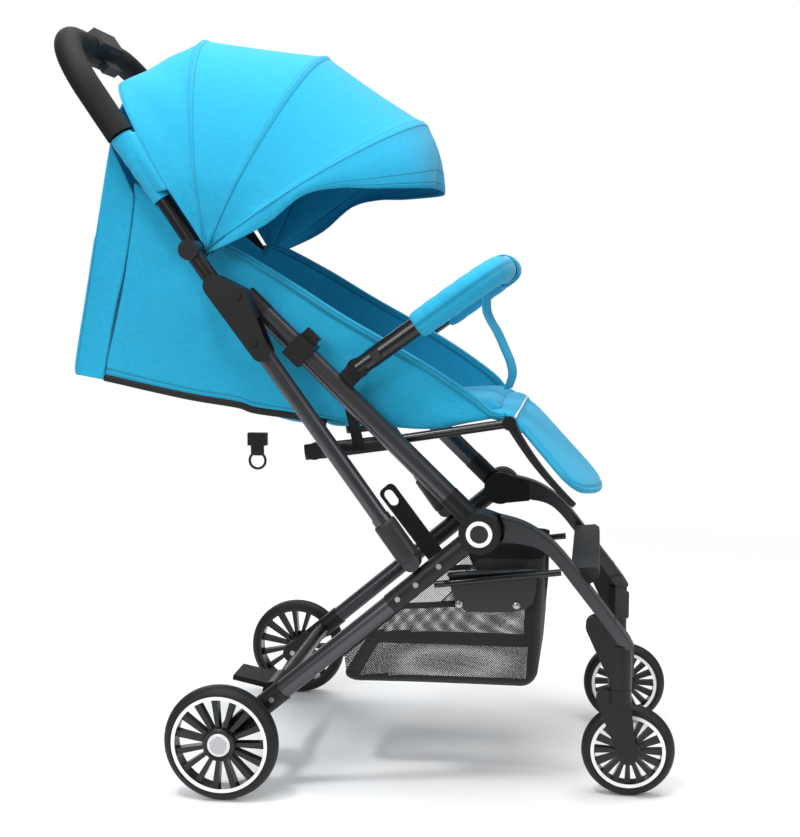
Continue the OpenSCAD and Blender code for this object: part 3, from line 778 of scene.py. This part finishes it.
# ---------------------------------------------------------------- basket
# A bag of black hexagonal net with a solid cloth floor, front and hems. It hangs from
# two rods; smooth black flaps snapped over the rods carry its upper edge.
def netting(name, colour, hole, thread):
    """Net: crossing diagonal threads with clear holes between, hole and thread in metres."""

    def draw(at):
        x, y, z = (at.node("SeparateXYZ", out=i, Vector=at) for i in range(3))
        turn = 2 * math.pi / hole
        one = ((x + y) * turn + z * turn).sine()
        two = ((x + y) * turn - z * turn).sine()
        near = at.maths("MAXIMUM", at.maths("ABSOLUTE", one), at.maths("ABSOLUTE", two))
        lesser = at.maths("MINIMUM", at.maths("ABSOLUTE", one), at.maths("ABSOLUTE", two))
        threads = lesser < thread
        fine = at.node("TexNoise", Vector=at, Scale=700, Detail=2)
        return {
            "Base Color": fine.between(shade(colour, 0.7), shade(colour, 1.5)),
            "Roughness": 0.6 + near * 0.1,
            "Alpha": threads,
            "height": (threads * 0.5 + fine * 0.2, 0.0004),
        }

    return finish(name, draw)


black_net = netting("black_net", (0.011, 0.011, 0.012), 0.0066, 0.56)
black_cloth = woven("black_cloth", (0.012, 0.012, 0.0128), 0.0012, 0.0003, 0.72)
low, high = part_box("basket")


def basket_shell(grow):
    """The bag: a box with rounded upright and lower edges that leans out towards its top."""
    made = bmesh.new()
    bmesh.ops.create_cube(made, size=1)
    size = high - low
    bmesh.ops.scale(made, vec=(size.x - 0.018 + 2 * grow, size.y - 0.002 + 2 * grow, size.z),
                    verts=made.verts)
    bmesh.ops.translate(made, vec=(low + high) / 2, verts=made.verts)
    edges = [e for e in made.edges
             if abs(e.verts[0].co.z - e.verts[1].co.z) > 0.01 or e.verts[0].co.z < low.z + 0.01]
    bmesh.ops.bevel(made, geom=edges, offset=0.021, offset_type="OFFSET", segments=5, profile=0.5,
                    affect="EDGES", material=-1)
    bmesh.ops.delete(made, geom=[f for f in made.faces if f.calc_center_median().z > high.z - 1e-4],
                     context="FACES_ONLY")
    for axis, count, start, end in (("X", 16, low.x, high.x), ("Y", 14, low.y, high.y),
                                    ("Z", 12, low.z, high.z)):
        normal = Vector((axis == "X", axis == "Y", axis == "Z"))
        for i in range(1, count):
            bmesh.ops.bisect_plane(made, geom=made.verts[:] + made.edges[:] + made.faces[:],
                                   plane_co=normal * (start + (end - start) * i / count),
                                   plane_no=normal, dist=1e-6)
    for vert in made.verts:
        x, y, z = vert.co
        up = (z - low.z) / (high.z - low.z)
        along = (x - low.x) / (high.x - low.x)
        vert.co.x += 0.010 * up * (1 if along > 0.5 else -0.6) * abs(2 * along - 1)
        side_swell = 0.004 * math.sin(math.pi * up) * math.sin(math.pi * along)
        vert.co.y += math.copysign(side_swell, y) if abs(y) > 0.1 else 0
        floor_sag = 0.004 * math.sin(math.pi * along) * math.cos(math.pi * y / 0.26)
        vert.co.z += floor_sag * 0.5 if up < 0.1 else 0
        if up > 0.5:
            dip = -0.005 * math.sin(math.pi * min(1, along / 0.6)) if along < 0.6 else 0
            vert.co.z += dip * (up - 0.5) * 2
            ahead = min(1, max(0, (along - 0.52) / 0.14))
            vert.co.z += 0.058 * ahead * (up - 0.5) * 2 * (abs(y) > 0.08)
        under_leg = hub.z + 0.843 * (x - hub.x) - 0.02
        if under_leg < high.z:
            vert.co.z = low.z + (vert.co.z - low.z) * (under_leg - low.z) / (high.z - low.z)
    return made


bag = piece("basket_net", basket_shell(0), black_net, "rear_frame")
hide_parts("basket")


def kept(made, keep):
    bmesh.ops.delete(made, geom=[f for f in made.faces if not keep(f.calc_center_median())],
                     context="FACES")
    return made


solid = kept(basket_shell(0.0008), lambda c: c.x > high.x - 0.022 or (
    c.z < low.z + 0.0135 and (abs(c.y) > 0.1 or c.x < low.x + 0.02)))
panel = piece("basket_floor", solid, black_cloth, "rear_frame", 0.0012)
# flaps: thin smooth panels folded over the rods, closed with two snaps each
rod_low, rod_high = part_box("basket_rods")
FLAP = [(-48, -73), (-47, -84), (-41, -103), (-35, -113), (-24, -122), (8, -122), (40, -120),
        (54, -116), (63, -108), (66, -96), (68, -78), (67, -64)]
for way, end in ((-1, "right"), (1, "left")):
    made = bmesh.new()
    ring = [made.verts.new(side(x, z, way * 124.5)) for x, z in FLAP]
    face = made.faces.new(ring)
    made.normal_update()
    if face.normal.y * way < 0:
        bmesh.ops.reverse_faces(made, faces=[face])
    bmesh.ops.inset_region(made, faces=[face], thickness=0.0035, depth=0.0012)
    bmesh.ops.inset_region(made, faces=[face], thickness=0.004, depth=0.0)
    flap = piece("basket_flap_" + end, made, grained("flap_" + end, (0.012, 0.012, 0.013), 0.3,
                                                     0.003, 0.0001), "rear_frame",
                 0.0018, bevel=0.0006)
    for poly in flap.data.polygons:
        poly.use_smooth = False
    if way < 0:
        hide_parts("basket_flaps")
    top = [side(-49 + 117 * t, -72 + 9 * t, way * 126) for t in (i / 20 for i in range(21))]
    made = swept(top, lambda i: (0.011, 0.0065), sides=14)
    fold = piece("basket_fold_" + end, made, flap.data.materials[0], "rear_frame")
    for x, z in ((-34, -112), (42, -111)):
        made = bmesh.new()
        bmesh.ops.create_uvsphere(made, u_segments=20, v_segments=10, radius=0.0055,
                                  matrix=Matrix.Translation(side(x, z, way * 126.5))
                                  @ Matrix.Diagonal((1, 0.5, 1, 1)))
        piece("basket_snap_%s_%s" % (end, "back" if x < 0 else "front"), made,
                             zinc, "rear_frame")
    strip = []
    for i in range(41):
        t = i / 40
        x = low.x + 0.004 + 0.155 * t
        height = min(high.z - 0.0045 * math.sin(math.pi * min(1, t / 0.95)),
                     hub.z + 0.843 * (x - hub.x) - 0.02)
        strip.append(Vector((x, way * 0.1205, height - 0.004)))
    made = swept(strip, lambda i: (0.003, 0.0085), sides=10, square=0.8)
    hem = piece("basket_hem_" + end, as_cloth(made, -1), black_cloth,
                "rear_frame", 0.0008)


# ---------------------------------------------------------------- wheel caps
# Each rear wheel has a domed nylon cap clipped over its axle nut, with a pale plain
# disc in it. The cap turns with the wheel.
def turned_part(profile, centre, way, steps=48):
    """A shape turned about the line across the stroller: profile is (outwards, radius)."""
    made = bmesh.new()
    line = [made.verts.new(centre + Vector((r, way * out, 0))) for out, r in profile]
    edges = [made.edges.new(pair) for pair in zip(line, line[1:])]
    bmesh.ops.spin(made, geom=line + edges, cent=centre, axis=(0, 1, 0), dvec=(0, 0, 0),
                   angle=2 * math.pi, steps=steps, use_merge=True, use_duplicate=False)
    bmesh.ops.remove_doubles(made, verts=made.verts, dist=1e-6)
    bmesh.ops.recalc_face_normals(made, faces=made.faces)
    return made


def cap_face(at):
    fine = at.node("TexNoise", Vector=at, Scale=300, Detail=2)
    return {"Base Color": fine.between((0.62, 0.63, 0.65, 1), (0.78, 0.79, 0.8, 1)),
            "Roughness": 0.3 + fine * 0.1, "height": (fine, 0.00002)}


cap_disc = finish("cap_disc", cap_face, Metallic=0.2)
for way, end in ((-1, "right"), (1, "left")):
    lo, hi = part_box("rear_rim_" + end)
    centre = (lo + hi) / 2
    centre.y = (lo.y if way < 0 else hi.y) + way * -0.001
    made = turned_part([(-0.004, 0.0215), (0.0005, 0.0215), (0.0022, 0.0205), (0.0026, 0.019),
                        (0.0012, 0.0165), (0.0012, 0.0)], centre, way)
    piece("wheel_cap_" + end, made, rim_nylon, "rear_wheel_" + end)
    made = turned_part([(0.0012, 0.0150), (0.0024, 0.0147), (0.0029, 0.0135), (0.0031, 0.0)],
                       centre, way)
    piece("wheel_cap_disc_" + end, made, cap_disc, "rear_wheel_" + end)
    for k in range(5):
        spoke = math.radians(90 + 72 * k)
        start = centre + Vector((math.cos(spoke) * 0.004, way * 0.0030, math.sin(spoke) * 0.004))
        stop = centre + Vector((math.cos(spoke) * 0.0112, way * 0.0030, math.sin(spoke) * 0.0112))
        made = swept([start.lerp(stop, i / 4) for i in range(5)], lambda i: (0.0012, 0.0028),
                     turned=(0, 1, 0), sides=8)
        piece("wheel_cap_rib_%s_%d" % (end, k), made, rim_nylon, "rear_wheel_" + end)

# ---------------------------------------------------------------- sockets and rail ends
# Ribbed nylon sockets at the struts' feet, and flat plates under the back of the seat
# rails that carry the recline strap.
for way, end in ((-1, "right"), (1, "left")):
    line = [side(-86.6 - 0.5835 * d, -39.8 + 0.8121 * d, way * 207.1)
            for d in (4, 8, 14, 30, 46, 58, 61)]
    made = swept(line, lambda i: [(0.0262, 0.0275), (0.0282, 0.0295)][0 < i < 6], sides=24,
                 square=0.35)
    piece("strut_socket_" + end, made, grey_nylon, "struts")
    lo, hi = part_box("seat_rails")
    line = [side(-233 + 118 * t, 91 + 15 * t, way * 156) for t in (i / 10 for i in range(11))]
    made = swept(line, lambda i: (0.013, 0.0205 - 0.0004 * abs(i - 2)), sides=20, square=0.7)
    piece("rail_end_" + end, made, black_nylon, "side_frame")
    line = [side(-214 + 80 * t, 101 + 10 * t, way * 156) for t in (i / 10 for i in range(11))]
    made = swept(line, lambda i: (0.010, 0.006), sides=12, square=0.5)
    piece("rail_rib_" + end, made, black_nylon, "side_frame")
